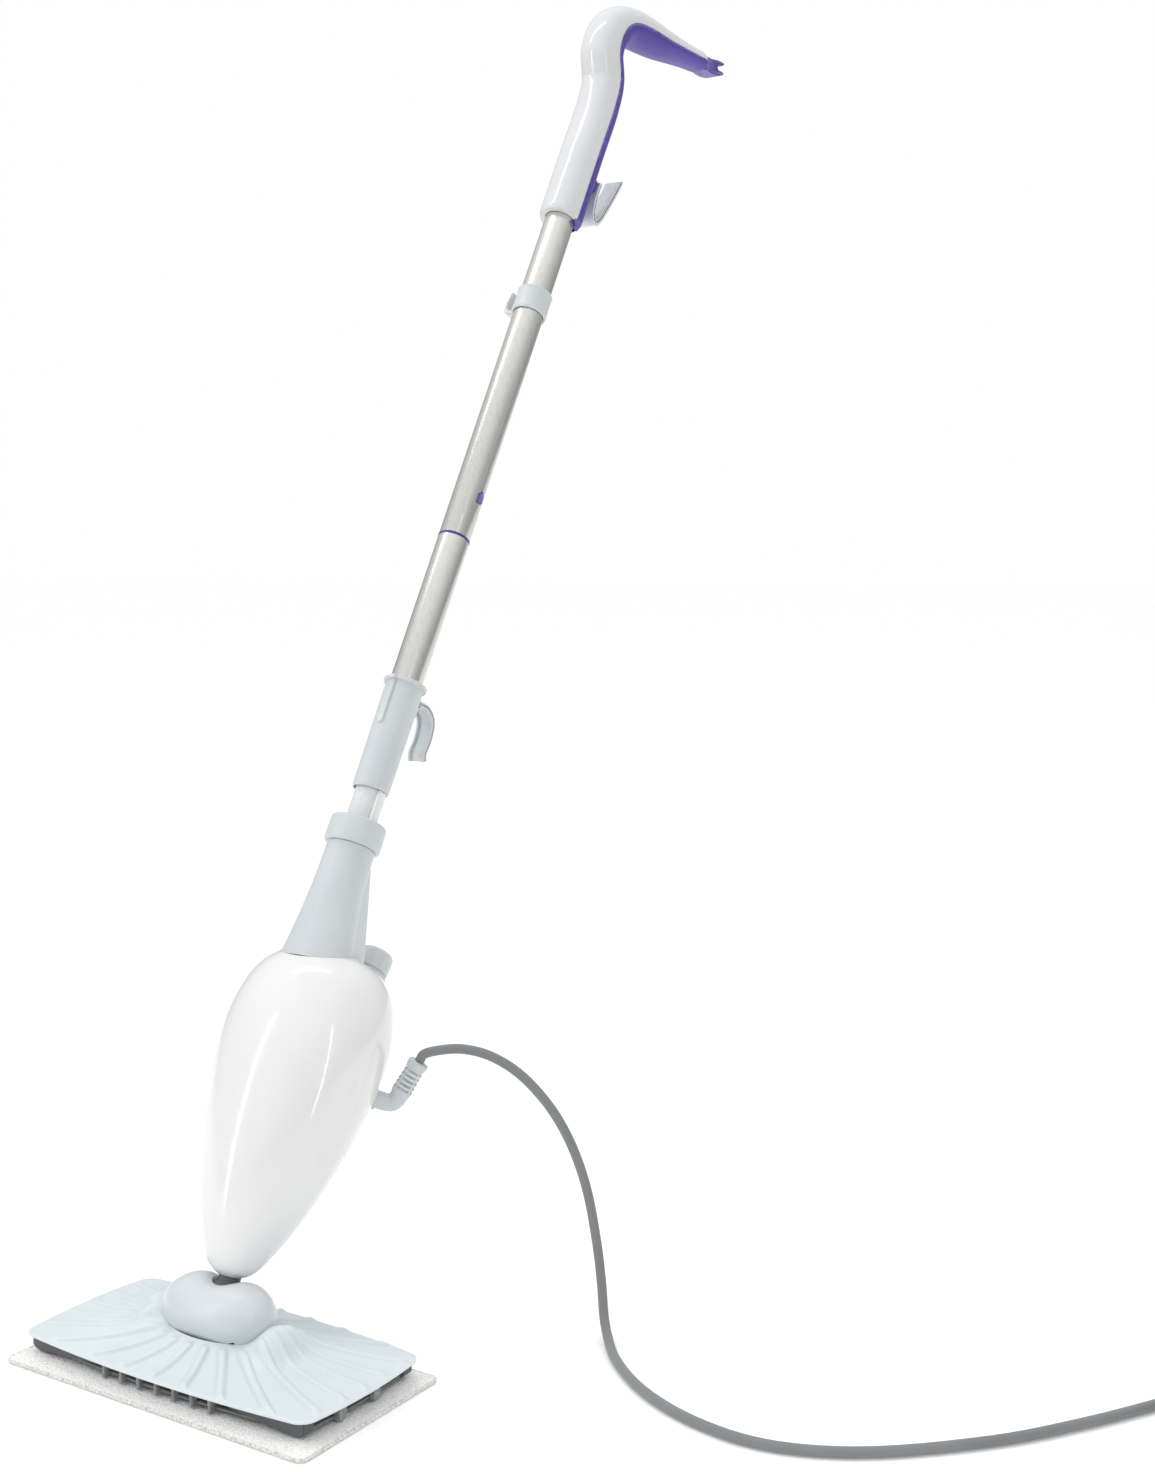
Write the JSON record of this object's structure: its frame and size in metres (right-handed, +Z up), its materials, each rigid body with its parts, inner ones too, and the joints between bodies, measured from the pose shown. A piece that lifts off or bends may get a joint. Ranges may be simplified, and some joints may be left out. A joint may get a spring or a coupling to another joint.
{
  "type": "steam mop",
  "caption": "Steam mop with a leaning tube pole, hand pump, egg-shaped boiler body, swivelling flat mop head, towel pad, filler cap, cord hooks and a power cord with a loose coil.",
  "frame": {"origin": "on the floor under the tilt axis of the mop head, at the centre of the pad underside", "axes": "+Z up, -Y the front of the mop head, +Y towards the user, X along the head width"},
  "size_m": [0.8388, 0.7828, 1.0569],
  "materials": {
    "white_shell": "gloss",
    "light_grey": "satin",
    "cover_grey": "satin",
    "dark_grey": "matt",
    "purple": "satin",
    "steel": "brushed",
    "towel": "terry cloth",
    "hook_tape": "hook tape",
    "clear_plastic": "gloss",
    "aluminium": "cast",
    "brass": "plain",
    "silicone": "satin",
    "black_rubber": "matt",
    "cord_grey": "satin"
  },
  "bodies": {
    "main_unit": {"neck_joint": "dark_grey", "front_shell": "white_shell", "rear_shell": "white_shell", "shell_screw_1": "steel", "shell_screw_2": "steel", "neck_cone": "light_grey", "neck_collar": "light_grey", "water_tank": "clear_plastic", "filler_neck": "light_grey", "boiler": "aluminium", "heating_element": "steel", "thermostat": "aluminium", "terminal_block": "silicone", "pump_cylinder": "clear_plastic", "pump_spring": "steel", "check_valve": "brass", "dip_tube": "silicone", "delivery_hose": "silicone", "steam_tube": "silicone", "cord_gland": "light_grey", "power_cord": "cord_grey", "cord_coil": "cord_grey", "plug_body": "cord_grey", "plug_blade_left": "brass", "plug_blade_right": "brass", "plug_earth_pin": "brass"},
    "barrel": {"swivel_barrel": "light_grey"},
    "mop_head": {"mop_pad": "towel", "base_plate": "dark_grey", "head_cover": "cover_grey", "steam_nozzle": "brass", "grip_strip_front": "hook_tape", "grip_strip_rear": "hook_tape", "bearing_block_left": "dark_grey", "bearing_block_right": "dark_grey", "pivot_pin_left": "steel", "pivot_pin_right": "steel", "base_screw_left": "steel", "base_screw_right": "steel"},
    "seal": {"cap_seal": "black_rubber"},
    "cap": {"filler_cap": "light_grey"},
    "pump_pole": {"pump_piston": "clear_plastic", "inner_tube": "light_grey", "guide_key": "white_shell", "pole_sleeve": "light_grey", "lower_cord_hook": "light_grey", "lower_tube": "steel", "tube_coupler": "purple", "upper_tube": "steel", "button_spring": "steel", "cord_clip_ring": "light_grey", "handle_shell": "white_shell", "handle_insert": "purple", "handle_end_clip": "purple", "hook_pin": "steel", "handle_screw": "steel"},
    "button": {"lock_button": "purple"},
    "cord_hook": {"upper_cord_hook": "light_grey"}
  },
  "joints": [
    {"name": "head_swivel", "type": "hinge", "parent": "main_unit", "child": "barrel", "pos_m": [0, 0, 0.043], "axis": [0, 0.4924, 0.8704], "range_deg": [-90, 90]},
    {"name": "head_tilt", "type": "hinge", "parent": "barrel", "child": "mop_head", "pos_m": [0, 0, 0.043], "axis": [1, 0, 0], "range_deg": [-29.5, 45]},
    {"name": "pump_stroke", "type": "slide", "parent": "main_unit", "child": "pump_pole", "axis": [0, 0.4924, 0.8704], "range_m": [-0.02, 0], "stiffness_N_per_m": 1500, "springref_m": 0.02, "deforming": ["pump_spring"]},
    {"name": "button_press", "type": "slide", "parent": "pump_pole", "child": "button", "axis": [1, 0, 0], "range_m": [-0.002, 0], "stiffness_N_per_m": 800, "springref_m": 0.001, "deforming": ["button_spring"]},
    {"name": "hook_turn", "type": "hinge", "parent": "pump_pole", "child": "cord_hook", "pos_m": [0, 0.48281, 0.89007], "axis": [0, 0.8704, -0.4924], "range_deg": [0, 180]},
    {"name": "cap_turn", "type": "hinge", "parent": "main_unit", "child": "seal", "pos_m": [0, 0.16273, 0.24736], "axis": [0, 0.6626, 0.749], "range_deg": [0, 100]},
    {"name": "cap_lift", "type": "slide", "parent": "seal", "child": "cap", "axis": [0, 0.6626, 0.749], "range_m": [0, 0.003]}
  ],
  "couplings": [
    {"joint": "cap_lift", "follows": "cap_turn", "m_per_rad": 0.0017189}
  ]
}
